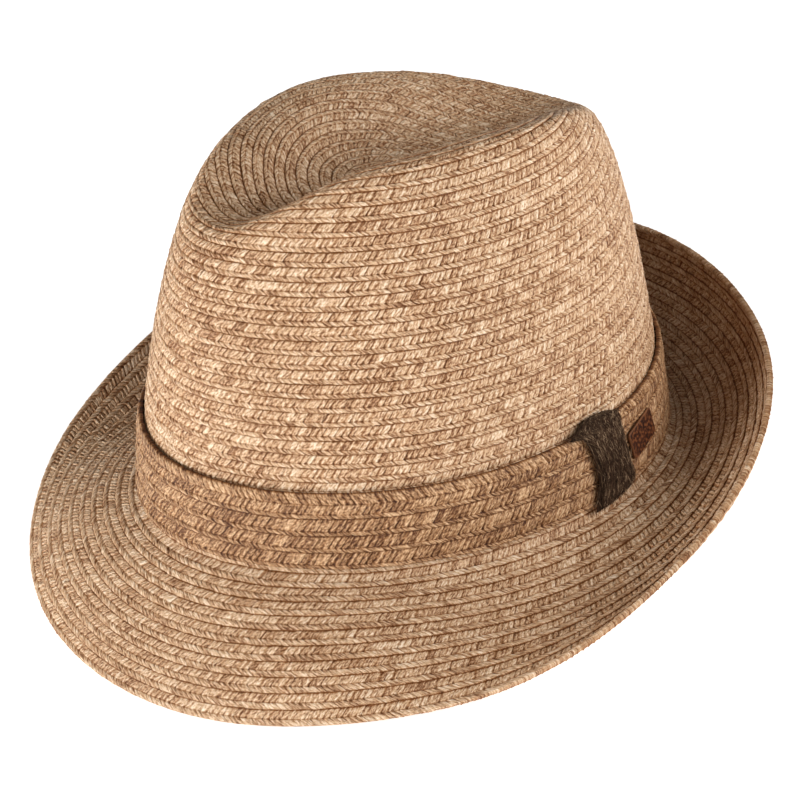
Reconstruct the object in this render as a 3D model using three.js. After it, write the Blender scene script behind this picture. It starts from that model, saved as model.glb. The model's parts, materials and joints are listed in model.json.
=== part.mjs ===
// A trilby sewn in one spiral from flat plaited straw braid: a crown with a teardrop dent, a brim that is
// snapped down in front and rolled up at the back, a braid band, a wool keeper and a leather patch.
// Millimetres. The hat is shaped in its own frame, with the face towards -Y, the wearer's left towards +X
// and the foot of the crown at z = 0. It is then tipped back until it rests on its brim on z = 0.
import * as THREE from "three";

// The head oval, measured over the braid at the foot of the crown
const CROWN_LENGTH = 200;
const CROWN_WIDTH = 168;
const EGG = 0.09; // share by which the oval is narrower in front and wider behind
const SADDLE = 1.2; // the brim's line is higher by this at front and back, and lower at the sides

// The crown over its foot
const CROWN_HEIGHT = 124; // the tallest section of the ridge
const DENT_DEPTH = 24; // the dent's floor under the tallest section
const DENT_LIP = 25; // pull of the level top inwards from the ridge, before it falls into the dent
const DENT_FLOOR = 0.75; // share of the way to the ridge inside which the dent's floor levels out
const LEFT_RISE = 3.2; // the ridge stands this much higher on the wearer's left, and lower on the right

// The brim, from the foot of the crown to its edge along the braid
const BRIM_WIDTH = 54;
const BRIM_CURL = 1.28; // power of the share across the brim at which its slope turns

// The braid and how it is sewn
const BRAID_THICKNESS = 2; // of the sewn wall, laps included
const BRAID_LAP = 0.8; // step from one row down to the next
const CROWN_PITCH = 4.6; // row to row on the crown
const BRIM_PITCH = 5.25; // row to row on the brim
const CROWN_FIRST_ROW = 0.65; // its lower edge over the band, in rows
const BRIM_FIRST_ROW = 0.4; // its outer edge past the foot, in rows
const EVEN_SHARE = 0.55; // rows keep their pitch over this share of a section, then share what is over
const SEAM_HEIGHT = 6; // the crown starts this high, on a short upright foot of the brim
const FOOT_ROUND = 3; // the turn from the foot into the brim reaches this far up and out
const GAP = 0.3; // clearance between pieces

// The trimmings
const BAND_LIFT = 2.2; // the band's lower edge over the foot of the crown
const BAND_WIDTH = 26.6;
const BAND_ROWS = 4;
const BAND_THICKNESS = 2;
const KEEPER_TURN = 100.6; // degrees from the front, towards the wearer's left
const KEEPER_WIDTH = 16.8;
const KEEPER_LEAN = 8; // its top stands this much nearer to the front than its lower end
const KEEPER_THICKNESS = 2;
const KEEPER_DROP = 1; // its lower end under the band's edge
const KEEPER_HEM = 0.6; // its lower end and its fold are thinner, by these shares
const KEEPER_FOLD = 0.8;
const PATCH_TURN = 113;
const PATCH_LENGTH = 17; // round the band
const PATCH_HEIGHT = 10.4;
const PATCH_TILT = 8.5; // degrees
const PATCH_THICKNESS = 1.2;
const PATCH_RISE = 15.2; // its centre over the foot of the crown

// Sections at even turns from the front (0) to the back (180), the same on both sides of the hat.
// reach: from the axis to the ridge, as a share of the way to the foot.
// height: of the ridge, as a share of CROWN_HEIGHT.
// shoulder: roundness of the ridge's outer side, lean: outward swell of the wall, shares of CROWN_HEIGHT.
// brim: its width, as a share of BRIM_WIDTH. root, edge: its slope in degrees at the foot and at the edge.
const SECTIONS = [
  { turn: 0, reach: 0.73, height: 0.87, shoulder: 0.1, lean: -0.06, brim: 0.93, root: -37, edge: -59 },
  { turn: 30, reach: 0.63, height: 0.94, shoulder: 0.08, lean: -0.04, brim: 0.98, root: -23, edge: -58 },
  { turn: 60, reach: 0.56, height: 0.98, shoulder: 0.09, lean: -0.02, brim: 1.01, root: -26, edge: -13 },
  { turn: 90, reach: 0.58, height: 0.99, shoulder: 0.08, lean: -0.06, brim: 1.05, root: -39, edge: 63 },
  { turn: 120, reach: 0.61, height: 0.97, shoulder: 0.08, lean: -0.07, brim: 1.05, root: -8, edge: 89 },
  { turn: 150, reach: 0.7, height: 0.91, shoulder: 0.1, lean: -0.02, brim: 1.02, root: -1, edge: 112 },
  { turn: 180, reach: 0.81, height: 0.84, shoulder: 0.12, lean: 0.03, brim: 1, root: 5, edge: 108 },
];

// How finely the solids are cut
const COLUMNS = 44; // round the hat
const FRONT_CROWDING = 0.3; // the columns stand closer together in front, where the dent has its tip
const PATH_STEPS = 48; // of each stretch of a section
const ROUND_STEPS = 12; // of the turn from the foot into the brim
const LINING_RINGS = 20; // on the inside of the crown
const DENT_RINGS = 13;
const RIDGE_CROWDING = 1.4; // the rings of the dent stand closer together at the ridge
const FOOT_SHARES = [0, 0.5, 0.7, 0.85, 1]; // rings down the foot, closest in its turn
const UNDER_RINGS = 9; // on the underside of the brim
const KEEPER_STEPS = 6; // across it
const PATCH_STEPS = 4; // along each side
const LAP_RUN = 0.5; // length of the step at the edge of a row
const PROBE = 0.01; // step for measuring a direction, in radians and millimetres

const STRAW = 0xc39a72;
const BAND_STRAW = 0xa98260;
const WOOL = 0x3b3129;
const LEATHER = 0x4a241a;

// A column of SECTIONS as a smooth function of the turn: the sum of cosines through every row.
function around(column) {
  const last = SECTIONS.length - 1;
  const waves = SECTIONS.map((_, wave) => {
    const terms = SECTIONS.map((row, i) => {
      const half = i === 0 || i === last ? 0.5 : 1;
      return half * row[column] * Math.cos((Math.PI * wave * i) / last);
    });
    const half = wave === 0 || wave === last ? 0.5 : 1;
    return (half * 2 * terms.reduce((sum, term) => sum + term, 0)) / last;
  });
  return (turn) => waves.reduce((sum, height, wave) => sum + height * Math.cos(wave * turn), 0);
}

const reach = around("reach");
const ridgeHeight = around("height");
const shoulder = around("shoulder");
const lean = around("lean");
const brimShare = around("brim");
const rootSlope = around("root");
const edgeSlope = around("edge");

// Point of the head oval, and its outward direction in plan.
function oval(turn) {
  const across = (CROWN_WIDTH / 2) * Math.sin(turn) * (1 - EGG * Math.cos(turn));
  return new THREE.Vector3(across, (-CROWN_LENGTH / 2) * Math.cos(turn), 0);
}

function outwardInPlan(turn) {
  const along = oval(turn + PROBE).sub(oval(turn - PROBE));
  return new THREE.Vector3(along.y, -along.x, 0).normalize();
}

function footHeight(turn) {
  return SADDLE * Math.cos(2 * turn);
}

function cubic(a, b, c, d, t) {
  const u = 1 - t;
  return u ** 3 * a + 3 * u * u * t * b + 3 * u * t * t * c + t ** 3 * d;
}

// A path with the run, or length along it, at each of its points.
function measured(points) {
  const runs = [0];
  for (let i = 1; i < points.length; i++) {
    runs.push(runs[i - 1] + points[i].distanceTo(points[i - 1]));
  }
  return { points, runs, length: runs[runs.length - 1] };
}

function pointAt(path, run) {
  let low = 0;
  let high = path.runs.length - 1;
  while (high - low > 1) {
    const middle = (low + high) >> 1;
    if (path.runs[middle] <= run) low = middle;
    else high = middle;
  }
  const share = (run - path.runs[low]) / (path.runs[high] - path.runs[low]);
  return path.points[low].clone().lerp(path.points[high], share);
}

function remember(make) {
  const known = new Map();
  return (turn) => {
    if (!known.has(turn)) known.set(turn, make(turn));
    return known.get(turn);
  };
}

// Section of the crown from its foot up the wall, over the ridge and down to the middle of the dent.
const crownSection = remember((turn) => {
  const foot = oval(turn);
  const radius = foot.length();
  const top = CROWN_HEIGHT * ridgeHeight(turn) + LEFT_RISE * Math.sin(turn);
  const start = footHeight(turn);
  const rim = reach(turn);
  const swell = 1 + (CROWN_HEIGHT * lean(turn)) / radius;
  const round = rim + (CROWN_HEIGHT * shoulder(turn)) / radius;
  const floor = CROWN_HEIGHT - DENT_DEPTH;
  const middle = (start + top) / 2;
  const points = [];
  for (let i = 0; i <= PATH_STEPS; i++) {
    const t = i / PATH_STEPS;
    const across = cubic(1, swell, round, rim, t);
    const height = cubic(start, middle, top, top, t);
    points.push(new THREE.Vector3(foot.x * across, foot.y * across, height));
  }
  for (let i = 1; i <= PATH_STEPS; i++) {
    const t = i / PATH_STEPS;
    const across = cubic(rim, rim - DENT_LIP / radius, DENT_FLOOR * rim, 0, t);
    const height = cubic(top, top, floor, floor, t);
    points.push(new THREE.Vector3(foot.x * across, foot.y * across, height));
  }
  return measured(points);
});

// Section of the brim from the seam down the upright foot, round into the brim and out to its edge.
const brimSection = remember((turn) => {
  const foot = oval(turn);
  const out = outwardInPlan(turn);
  const width = BRIM_WIDTH * brimShare(turn);
  const root = THREE.MathUtils.degToRad(rootSlope(turn));
  const edge = THREE.MathUtils.degToRad(edgeSlope(turn));
  const flat = [new THREE.Vector3(foot.x, foot.y, footHeight(turn))];
  for (let i = 1; i <= PATH_STEPS; i++) {
    const slope = root + (edge - root) * ((i - 0.5) / PATH_STEPS) ** BRIM_CURL;
    const step = out.clone().multiplyScalar(Math.cos(slope));
    step.z = Math.sin(slope);
    flat.push(flat[i - 1].clone().addScaledVector(step, width / PATH_STEPS));
  }
  const plain = measured(flat);
  const corner = flat[0];
  const start = pointAt(crownSection(turn), FOOT_ROUND);
  const end = pointAt(plain, FOOT_ROUND);
  const points = [pointAt(crownSection(turn), SEAM_HEIGHT - GAP)];
  for (let i = 0; i <= ROUND_STEPS; i++) {
    const t = i / ROUND_STEPS;
    const down = start.clone().lerp(corner, t);
    points.push(down.lerp(corner.clone().lerp(end, t), t));
  }
  plain.runs.forEach((run, i) => {
    if (run > FOOT_ROUND) points.push(flat[i]);
  });
  return measured(points);
});

const crownPoint = (turn, run) => pointAt(crownSection(turn), run);
const brimPoint = (turn, run) => pointAt(brimSection(turn), run);

// A point of a surface, moved by a depth against its normal: turn by run points out of the crown, and
// down through the brim.
function sunk(surface, turn, run, depth) {
  const along = surface(turn + PROBE, run).sub(surface(turn - PROBE, run));
  const up = surface(turn, run + PROBE).sub(surface(turn, run - PROBE));
  const normal = along.cross(up).normalize();
  return surface(turn, run).addScaledVector(normal, -depth);
}

const TURNS = Array.from({ length: COLUMNS }, (_, i) => {
  const even = (2 * Math.PI * i) / COLUMNS;
  return even - FRONT_CROWDING * Math.sin(even);
});

const EVEN_TURNS = SECTIONS.map((row) => THREE.MathUtils.degToRad(row.turn));
const meanOf = (lengths) => lengths.reduce((sum, length) => sum + length, 0) / lengths.length;
const CROWN_RUN = meanOf(EVEN_TURNS.map((turn) => crownSection(turn).length));
const BRIM_RUN = meanOf(EVEN_TURNS.map((turn) => brimSection(turn).length));

// Rows keep their pitch near the foot of the crown. Further out they share what a longer section has over.
function runOf(mean, whole, run) {
  const late = THREE.MathUtils.smoothstep(run / mean, EVEN_SHARE, 1);
  return run + (whole - mean) * late;
}

function crownRing(run, depth) {
  return TURNS.map((turn) => {
    const own = runOf(CROWN_RUN, crownSection(turn).length, run);
    return sunk(crownPoint, turn, own, depth);
  });
}

function brimRing(run, depth) {
  return TURNS.map((turn) => {
    const own = runOf(BRIM_RUN, brimSection(turn).length, run);
    return sunk(brimPoint, turn, own, -depth);
  });
}

// A closed mesh through rings of points. A ring of one point is a pole; without poles the last ring
// joins the first.
function closedThrough(rings) {
  const firsts = [];
  const positions = [];
  for (const ring of rings) {
    firsts.push(positions.length / 3);
    ring.forEach((point) => positions.push(point.x, point.y, point.z));
  }
  const pole = rings[0].length === 1;
  const joins = pole ? rings.length - 1 : rings.length;
  const index = [];
  for (let i = 0; i < joins; i++) {
    const next = (i + 1) % rings.length;
    const count = Math.max(rings[i].length, rings[next].length);
    for (let j = 0; j < count; j++) {
      const k = (j + 1) % count;
      const here = (n) => firsts[i] + (rings[i].length === 1 ? 0 : n);
      const there = (n) => firsts[next] + (rings[next].length === 1 ? 0 : n);
      if (rings[i].length > 1) index.push(here(j), here(k), there(j));
      if (rings[next].length > 1) index.push(here(k), there(k), there(j));
    }
  }
  return facingOut(positions, index);
}

function facingOut(positions, index) {
  const corner = (n) => new THREE.Vector3().fromArray(positions, 3 * index[n]);
  let volume = 0;
  for (let n = 0; n < index.length; n += 3) {
    volume += corner(n).dot(corner(n + 1).cross(corner(n + 2)));
  }
  const geometry = new THREE.BufferGeometry();
  geometry.setAttribute("position", new THREE.Float32BufferAttribute(positions, 3));
  geometry.setIndex(volume > 0 ? index : index.slice().reverse());
  geometry.computeVertexNormals();
  return geometry;
}

// Rings of lapped rows: at each edge the row's crest lies on the surface, and past the edge the next row
// comes out from under it.
function lappedRings(ring, edges, towardsFoot) {
  return edges.flatMap((run) => {
    const crest = ring(run, 0);
    const under = ring(run + (towardsFoot ? -LAP_RUN : LAP_RUN), BRAID_LAP);
    return towardsFoot ? [under, crest] : [crest, under];
  });
}

function crownGeometry() {
  const bandTop = BAND_LIFT + BAND_WIDTH;
  const wall = Math.min(...EVEN_TURNS.map((turn) => crownSection(turn).runs[PATH_STEPS]));
  const rows = Math.round((wall - bandTop) / CROWN_PITCH);
  const edges = Array.from({ length: rows }, (_, i) => bandTop + CROWN_PITCH * (i + CROWN_FIRST_ROW));
  const rings = [crownRing(SEAM_HEIGHT, 0), crownRing((SEAM_HEIGHT + bandTop) / 2, 0)];
  rings.push(...lappedRings(crownRing, edges, true));
  const ridge = edges[rows - 1];
  for (let i = 1; i < DENT_RINGS; i++) {
    rings.push(crownRing(ridge + (CROWN_RUN - ridge) * (i / DENT_RINGS) ** RIDGE_CROWDING, 0));
  }
  const floor = CROWN_HEIGHT - DENT_DEPTH;
  rings.push([new THREE.Vector3(0, 0, floor)]);
  const inner = [];
  for (let i = 0; i < LINING_RINGS; i++) {
    const run = SEAM_HEIGHT + ((CROWN_RUN - SEAM_HEIGHT) * i) / LINING_RINGS;
    inner.push(crownRing(run, BRAID_THICKNESS));
  }
  inner.push([new THREE.Vector3(0, 0, floor - BRAID_THICKNESS)]);
  return closedThrough([...rings.reverse(), ...inner]);
}

function brimGeometry() {
  const foot = SEAM_HEIGHT;
  const rows = Math.floor((BRIM_RUN - foot) / BRIM_PITCH);
  const edges = Array.from({ length: rows }, (_, i) => foot + BRIM_PITCH * (i + BRIM_FIRST_ROW));
  const rings = FOOT_SHARES.map((share) => brimRing(PROBE + share * foot, 0));
  rings.push(...lappedRings(brimRing, edges, false));
  rings.push(brimRing(BRIM_RUN - PROBE, 0), brimRing(BRIM_RUN - PROBE, BRAID_THICKNESS));
  for (let i = UNDER_RINGS - 1; i > 0; i--) {
    rings.push(brimRing(foot + ((BRIM_RUN - foot) * i) / UNDER_RINGS, BRAID_THICKNESS));
  }
  rings.push(brimRing(FOOT_SHARES[2] * foot, BRAID_THICKNESS), brimRing(PROBE, BRAID_THICKNESS));
  return closedThrough(rings);
}

// The band stands on the crown's surface, so its rows are measured outwards from it.
function bandGeometry() {
  const pitch = BAND_WIDTH / BAND_ROWS;
  const ring = (run, out) => TURNS.map((turn) => sunk(crownPoint, turn, run, -out));
  const inner = GAP;
  const crest = GAP + BAND_THICKNESS;
  const rings = [];
  for (let i = 0; i < BAND_ROWS; i++) {
    const foot = BAND_LIFT + pitch * i;
    rings.push(ring(foot, crest), ring(foot + pitch - LAP_RUN, crest - BRAID_LAP));
  }
  rings.push(ring(BAND_LIFT + BAND_WIDTH, crest - BRAID_LAP), ring(BAND_LIFT + BAND_WIDTH, inner));
  rings.push(ring(BAND_LIFT + BAND_WIDTH / 2, inner), ring(BAND_LIFT, inner));
  return closedThrough(rings);
}

// A point over the band: along in mm towards the back from a turn, up the wall, and out from the crown.
function overBand(turnDegrees, along, up, out) {
  const turn = THREE.MathUtils.degToRad(turnDegrees);
  const speed = oval(turn + PROBE).distanceTo(oval(turn - PROBE)) / (2 * PROBE);
  return sunk(crownPoint, turn + along / speed, up, -out);
}

// A closed mesh through outlines of equal length, with a fan over the first and the last.
function capped(outlines) {
  const middle = (outline) => {
    const sum = outline.reduce((total, point) => total.add(point), new THREE.Vector3());
    return sum.divideScalar(outline.length);
  };
  const last = outlines[outlines.length - 1];
  return closedThrough([[middle(outlines[0])], ...outlines, [middle(last)]]);
}

// The keeper: a strip over the face of the band, folded in over the band's top edge.
function keeperGeometry() {
  const face = GAP + BAND_THICKNESS + GAP;
  const bandTop = BAND_LIFT + BAND_WIDTH;
  const hem = BAND_LIFT - KEEPER_DROP;
  const under = bandTop + GAP;
  const over = under + KEEPER_THICKNESS;
  const section = [
    { up: hem, from: face, to: face + KEEPER_THICKNESS * KEEPER_HEM },
    { up: hem + KEEPER_THICKNESS * KEEPER_HEM, from: face, to: face + KEEPER_THICKNESS },
    { up: BAND_LIFT + BAND_WIDTH / 2, from: face, to: face + KEEPER_THICKNESS },
    { up: under - GAP, from: face, to: face + KEEPER_THICKNESS },
    { up: under, from: GAP, to: face + KEEPER_THICKNESS * KEEPER_FOLD },
    { up: over, from: GAP, to: face - GAP },
  ];
  const outlines = section.map((row) => {
    const shift = KEEPER_LEAN * (0.5 - (row.up - hem) / (over - hem));
    const outline = [];
    for (let i = 0; i <= KEEPER_STEPS; i++) {
      const along = shift + KEEPER_WIDTH * (i / KEEPER_STEPS - 0.5);
      outline.push(overBand(KEEPER_TURN, along, row.up, row.to));
    }
    for (let i = KEEPER_STEPS; i >= 0; i--) {
      const along = shift + KEEPER_WIDTH * (i / KEEPER_STEPS - 0.5);
      outline.push(overBand(KEEPER_TURN, along, row.up, row.from));
    }
    return outline;
  });
  return capped(outlines);
}

// The patch: a thin rectangle of leather, bent to the band.
function patchGeometry() {
  const face = GAP + BAND_THICKNESS + GAP;
  const tilt = THREE.MathUtils.degToRad(PATCH_TILT);
  const middle = new THREE.Vector2();
  const half = new THREE.Vector2(PATCH_LENGTH / 2, PATCH_HEIGHT / 2);
  const signs = [[-1, -1], [1, -1], [1, 1], [-1, 1]];
  const corners = signs.map(([x, y]) => new THREE.Vector2(x, y).multiply(half).rotateAround(middle, tilt));
  const outline = corners.flatMap((corner, side) => {
    const next = corners[(side + 1) % corners.length];
    return Array.from({ length: PATCH_STEPS }, (_, i) => corner.clone().lerp(next, i / PATCH_STEPS));
  });
  const at = (out) => outline.map((p) => overBand(PATCH_TURN, p.x, PATCH_RISE + p.y, out));
  return capped([at(face), at(face + PATCH_THICKNESS)]);
}

function piece(name, geometry, color, roughness) {
  const material = new THREE.MeshStandardMaterial({ color, roughness, metalness: 0 });
  const mesh = new THREE.Mesh(geometry, material);
  mesh.name = name;
  return mesh;
}

const brim = brimGeometry();
const hat = new THREE.Group();
hat.add(piece("crown", crownGeometry(), STRAW, 0.7));
hat.add(piece("brim", brim, STRAW, 0.7));
hat.add(piece("band", bandGeometry(), BAND_STRAW, 0.7));
hat.add(piece("keeper", keeperGeometry(), WOOL, 0.95));
hat.add(piece("patch", patchGeometry(), LEATHER, 0.55));

// The hat comes to rest tipped back, on the front edge of its brim and on the back of it. Halving finds
// the tilt at which the lowest points in front and behind stand level.
const points = [];
for (let i = 0; i < brim.attributes.position.count; i++) {
  points.push(new THREE.Vector3().fromBufferAttribute(brim.attributes.position, i));
}
const lowest = (tilt, side) => {
  const own = points.filter((point) => point.y * side > 0);
  return Math.min(...own.map((point) => point.z * Math.cos(tilt) - point.y * Math.sin(tilt)));
};
let low = 0;
let high = Math.PI / 6;
for (let i = 0; i < 40; i++) {
  const tilt = (low + high) / 2;
  if (lowest(tilt, -1) < lowest(tilt, 1)) low = tilt;
  else high = tilt;
}
hat.rotation.x = -low;

const trilby = new THREE.Group();
trilby.add(hat);
trilby.updateMatrixWorld(true);
const box = new THREE.Box3().setFromObject(trilby, true);
hat.position.set(-(box.min.x + box.max.x) / 2, -(box.min.y + box.max.y) / 2, -box.min.z);

export default trilby;
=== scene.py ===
# A trilby sewn round and round from flat plaited straw braid, with a band of the same braid, a keeper of
# dark wool wound over the band and a small leather patch behind it.
import json
import math

import bpy
import numpy as np
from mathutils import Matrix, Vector


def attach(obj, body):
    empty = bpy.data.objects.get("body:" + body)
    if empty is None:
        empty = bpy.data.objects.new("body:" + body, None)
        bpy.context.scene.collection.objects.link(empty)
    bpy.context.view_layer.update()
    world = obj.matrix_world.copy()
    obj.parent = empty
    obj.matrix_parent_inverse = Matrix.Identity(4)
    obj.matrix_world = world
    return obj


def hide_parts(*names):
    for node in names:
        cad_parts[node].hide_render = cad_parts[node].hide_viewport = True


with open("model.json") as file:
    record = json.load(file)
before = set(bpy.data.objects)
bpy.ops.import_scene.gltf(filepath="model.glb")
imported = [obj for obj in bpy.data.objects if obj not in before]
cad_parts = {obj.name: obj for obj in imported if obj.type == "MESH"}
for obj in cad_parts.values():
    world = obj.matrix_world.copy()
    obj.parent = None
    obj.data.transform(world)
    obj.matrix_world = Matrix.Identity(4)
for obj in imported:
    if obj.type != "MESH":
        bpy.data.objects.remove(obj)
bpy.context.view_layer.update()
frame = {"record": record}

# The crown. Plaited straw braid about 9 mm wide, sewn on from the brim in rows that each cover the upper
# part of the row below, so that a row's folded lower edge and its slanting strands show. It was pressed
# over a block, which gives the teardrop dent and the pinched front.
CROWN_LENGTH = 200.0
CROWN_WIDTH = 168.0
EGG = 0.09  # share by which the oval is narrower in front and wider behind
SADDLE = 1.2  # the foot is higher by this at front and back, and lower at the sides
CROWN_HEIGHT = 124.0
DENT_DEPTH = 24.0
DENT_LIP = 25.0  # pull of the level top inwards, before it falls into the dent
DENT_FLOOR = 0.75  # share of the way to the ridge inside which the floor levels out
LEFT_RISE = 3.2  # the ridge is higher on the wearer's left
CROWN_PITCH = 4.6  # row to row
CROWN_FIRST_ROW = 0.65  # the first row over the band, in rows
EVEN_SHARE = 0.55  # rows keep their pitch over this share of a section
WALL = 2.0  # thickness of the sewn braid
LAP = 0.72  # step from one row down to the next on the crown
DENT_LAP = 0.45  # the same where the rows lie flat in the dent
CROWN_DOME = 1.0  # how round a row's face is
DENT_DOME = 0.6
CROWN_APEX = 1.62  # place across a row where its strands turn over
OUTER_SLANT = 1.27  # mm that a strand goes along the row for each mm across it, up to the apex
INNER_SLANT = 0.65  # the same past the apex, and the other way
STRAND = 2.1  # width of a strand, measured along the row
BAND_LIFT = 2.2
BAND_WIDTH = 26.6

# Sections at even turns from the front to the back, the same on both sides of the hat. Lengths are shares
# of the way to the foot (reach), of CROWN_HEIGHT (height, shoulder, lean) and of BRIM_WIDTH (brim). Root
# and edge are the brim's slope in degrees at the foot and at its edge.
SECTIONS = {
    "turn": (0, 30, 60, 90, 120, 150, 180),
    "reach": (0.73, 0.63, 0.56, 0.58, 0.61, 0.70, 0.81),
    "height": (0.87, 0.94, 0.98, 0.99, 0.97, 0.91, 0.84),
    "shoulder": (0.10, 0.08, 0.09, 0.08, 0.08, 0.10, 0.12),
    "lean": (-0.06, -0.04, -0.02, -0.06, -0.07, -0.02, 0.03),
    "brim": (0.955, 0.985, 1.00, 1.035, 1.015, 0.985, 0.98),
    "root": (-37, -23, -26, -39, -8, -1, 5),
    "edge": (-56, -55, -13, 63, 89, 112, 108),
}
PATH_STEPS = 96  # of each of the two curves of a crown's section
COLUMNS = 720  # of the table that holds a skin
TABLE_STEP = 0.5  # mm between its rings
TURNS = np.linspace(0, 2 * np.pi, COLUMNS, endpoint=False)
chance = np.random.default_rng(7)


def around(column):
    """A column of SECTIONS as a smooth function of the turn: the sum of cosines through every row."""
    rows = np.array(SECTIONS[column], float)
    last = len(rows) - 1
    waves = np.arange(last + 1)
    ends = np.where((waves == 0) | (waves == last), 0.5, 1.0)
    heights = np.cos(np.pi * np.outer(waves, waves) / last) * ends @ rows * ends * 2 / last
    return lambda turn: np.cos(np.multiply.outer(turn, waves)) @ heights


def oval(turn):
    """The head oval: an ellipse, -cos of the turn along the head and sin across it, narrowed in front
    by EGG."""
    across = CROWN_WIDTH / 2 * np.sin(turn) * (1 - EGG * np.cos(turn))
    return np.stack([across, -CROWN_LENGTH / 2 * np.cos(turn)], axis=-1)


def cubic(a, b, c, d, t):
    """A cubic Bezier curve from a to d with the handles b and c."""
    return (1 - t) ** 3 * a + 3 * (1 - t) ** 2 * t * b + 3 * (1 - t) * t * t * c + t**3 * d


def crown_paths(turn):
    """Sections of the crown: a cubic up the wall to the ridge, and a second one that starts level at the
    ridge and falls to the level floor of the dent, both as shares of the way out to the oval."""
    foot = oval(turn)
    radius = np.hypot(foot[:, 0], foot[:, 1])[:, None]
    top = (CROWN_HEIGHT * around("height")(turn) + LEFT_RISE * np.sin(turn))[:, None]
    start = (SADDLE * np.cos(2 * turn))[:, None]
    rim = around("reach")(turn)[:, None]
    swell = 1 + CROWN_HEIGHT * around("lean")(turn)[:, None] / radius
    shoulder = rim + CROWN_HEIGHT * around("shoulder")(turn)[:, None] / radius
    floor = CROWN_HEIGHT - DENT_DEPTH
    t = np.linspace(0, 1, PATH_STEPS + 1)
    wall = cubic(1, swell, shoulder, rim, t)
    dent = cubic(rim, rim - DENT_LIP / radius, DENT_FLOOR * rim, 0, t[1:])
    wall_height = cubic(start, (start + top) / 2, top, top, t)
    dent_height = cubic(top, top, floor, floor, t[1:])
    share = np.concatenate([wall, dent], axis=1)
    height = np.concatenate([wall_height, dent_height], axis=1)
    return np.stack([foot[:, :1] * share, foot[:, 1:] * share, height], axis=-1)


def runs_of(paths):
    """The run, or length along its path, of each point of each path: the running sum of the chords."""
    chords = np.linalg.norm(np.diff(paths, axis=1), axis=2)
    return np.pad(np.cumsum(chords, axis=1), ((0, 0), (1, 0)))


def at_runs(paths, wanted):
    """The points of each path at the wanted runs: the runs of its own points are turned round by linear
    interpolation, all paths end to end in one call."""
    runs = runs_of(paths)
    lift = np.arange(len(paths))[:, None] * (runs.max() + 1)
    place = np.interp((wanted + lift).ravel(), (runs + lift).ravel(), np.arange(runs.size))
    low = np.minimum(place.astype(int), runs.size - 2)
    share = (place - low)[:, None]
    flat = paths.reshape(-1, 3)
    return (flat[low] * (1 - share) + flat[low + 1] * share).reshape(*wanted.shape, 3)


def skin_through(paths, facing):
    """A skin through sections at TURNS. It gives a function of turn, run and height over the skin, and the
    mean run at the turns of SECTIONS. Past EVEN_SHARE of the run a longer section spreads what it has over
    by a smooth step. The normal is the cross product of the two directions, times facing."""
    whole = runs_of(paths)[:, -1:]
    sections = len(SECTIONS["turn"])
    mean = whole[:: COLUMNS // 2 // (sections - 1), 0][:sections].mean()
    run = np.append(np.arange(0, mean, TABLE_STEP), mean)
    late = np.clip((run / mean - EVEN_SHARE) / (1 - EVEN_SHARE), 0, 1)
    own = run + (whole - mean) * late * late * (3 - 2 * late)
    points = at_runs(paths, np.minimum(own, whole))
    along = np.roll(points, -1, axis=0) - np.roll(points, 1, axis=0)
    normal = facing * np.cross(along, np.gradient(points, axis=1))
    length = np.linalg.norm(normal, axis=2, keepdims=True)
    none = 1e-6  # the length of a normal where all sections meet
    normal = np.where(length > none, normal / np.maximum(length, none), (0, 0, 1))
    table = np.concatenate([points, normal], axis=2)
    table = np.concatenate([table, table[:1]])
    last = table.shape[1] - 1.001  # just inside the last ring

    def skin(turn, run_here, out):
        """The four nearest points of the table mixed by their shares, and out along their mixed normal."""
        a = np.mod(turn / (2 * np.pi), 1) * COLUMNS
        b = np.clip(run_here / TABLE_STEP, 0, last)
        a, b = np.broadcast_arrays(a, b)
        i = np.minimum(a.astype(int), COLUMNS - 1)
        j = b.astype(int)
        p = (a - i)[..., None]
        q = (b - j)[..., None]
        low = table[i, j] * (1 - q) + table[i, j + 1] * q
        high = table[i + 1, j] * (1 - q) + table[i + 1, j + 1] * q
        found = low * (1 - p) + high * p
        return found[..., :3] + found[..., 3:] * np.broadcast_to(out, a.shape)[..., None]

    return skin, mean


# Points across a row, from under its folded edge to where the next row covers it. A point's place across
# the row is its share of the apex, plus its share of the pitch, plus mm. Its height over the skin is its
# swell times the dome, plus its level. Groove is how far the strands dip between each other. The painted
# shade column is how dark the colour is painted: darkest under the folded edge and where the row above
# covers it, and a little at the apex. Bank tells the strands before the apex from those past it.
FACE = {
    "apex": (0, 0, 0, 0.5, 0.84, 1, 1, 0, 0, 0, 0),
    "pitch": (0, 0, 0, 0, 0, 0, 0, 0.62, 0.9, 0.97, 1),
    "mm": (0.35, 0, 0.13, 0, 0, 0, 0.33, 0, 0, 0, 0.5),
    "swell": (0, 0, 0, 0.13, 0.07, 0, 0.07, 0.2, 0.1, 0, 0),
    "level": (-0.4, -0.33, -0.08, 0, 0, -0.14, 0, 0, 0, -0.05, -0.15),
    "groove": (0, 0.25, 0.35, 0.36, 0.45, 1.0, 0.6, 0.44, 0.44, 0.33, 0.2),
    "painted_shade": (1, 1, 0.1, 0, 0.05, 0.45, 0.02, 0, 0.05, 0.8, 1),
    "bank": (0, 0, 0, 0, 0, 1, 1, 1, 1, 1, 1),
}
TUCK = -1.3  # height of a row's hidden start
FOLD_DROP = 0.3  # the folded edge hangs down by this share of the lap


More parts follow.
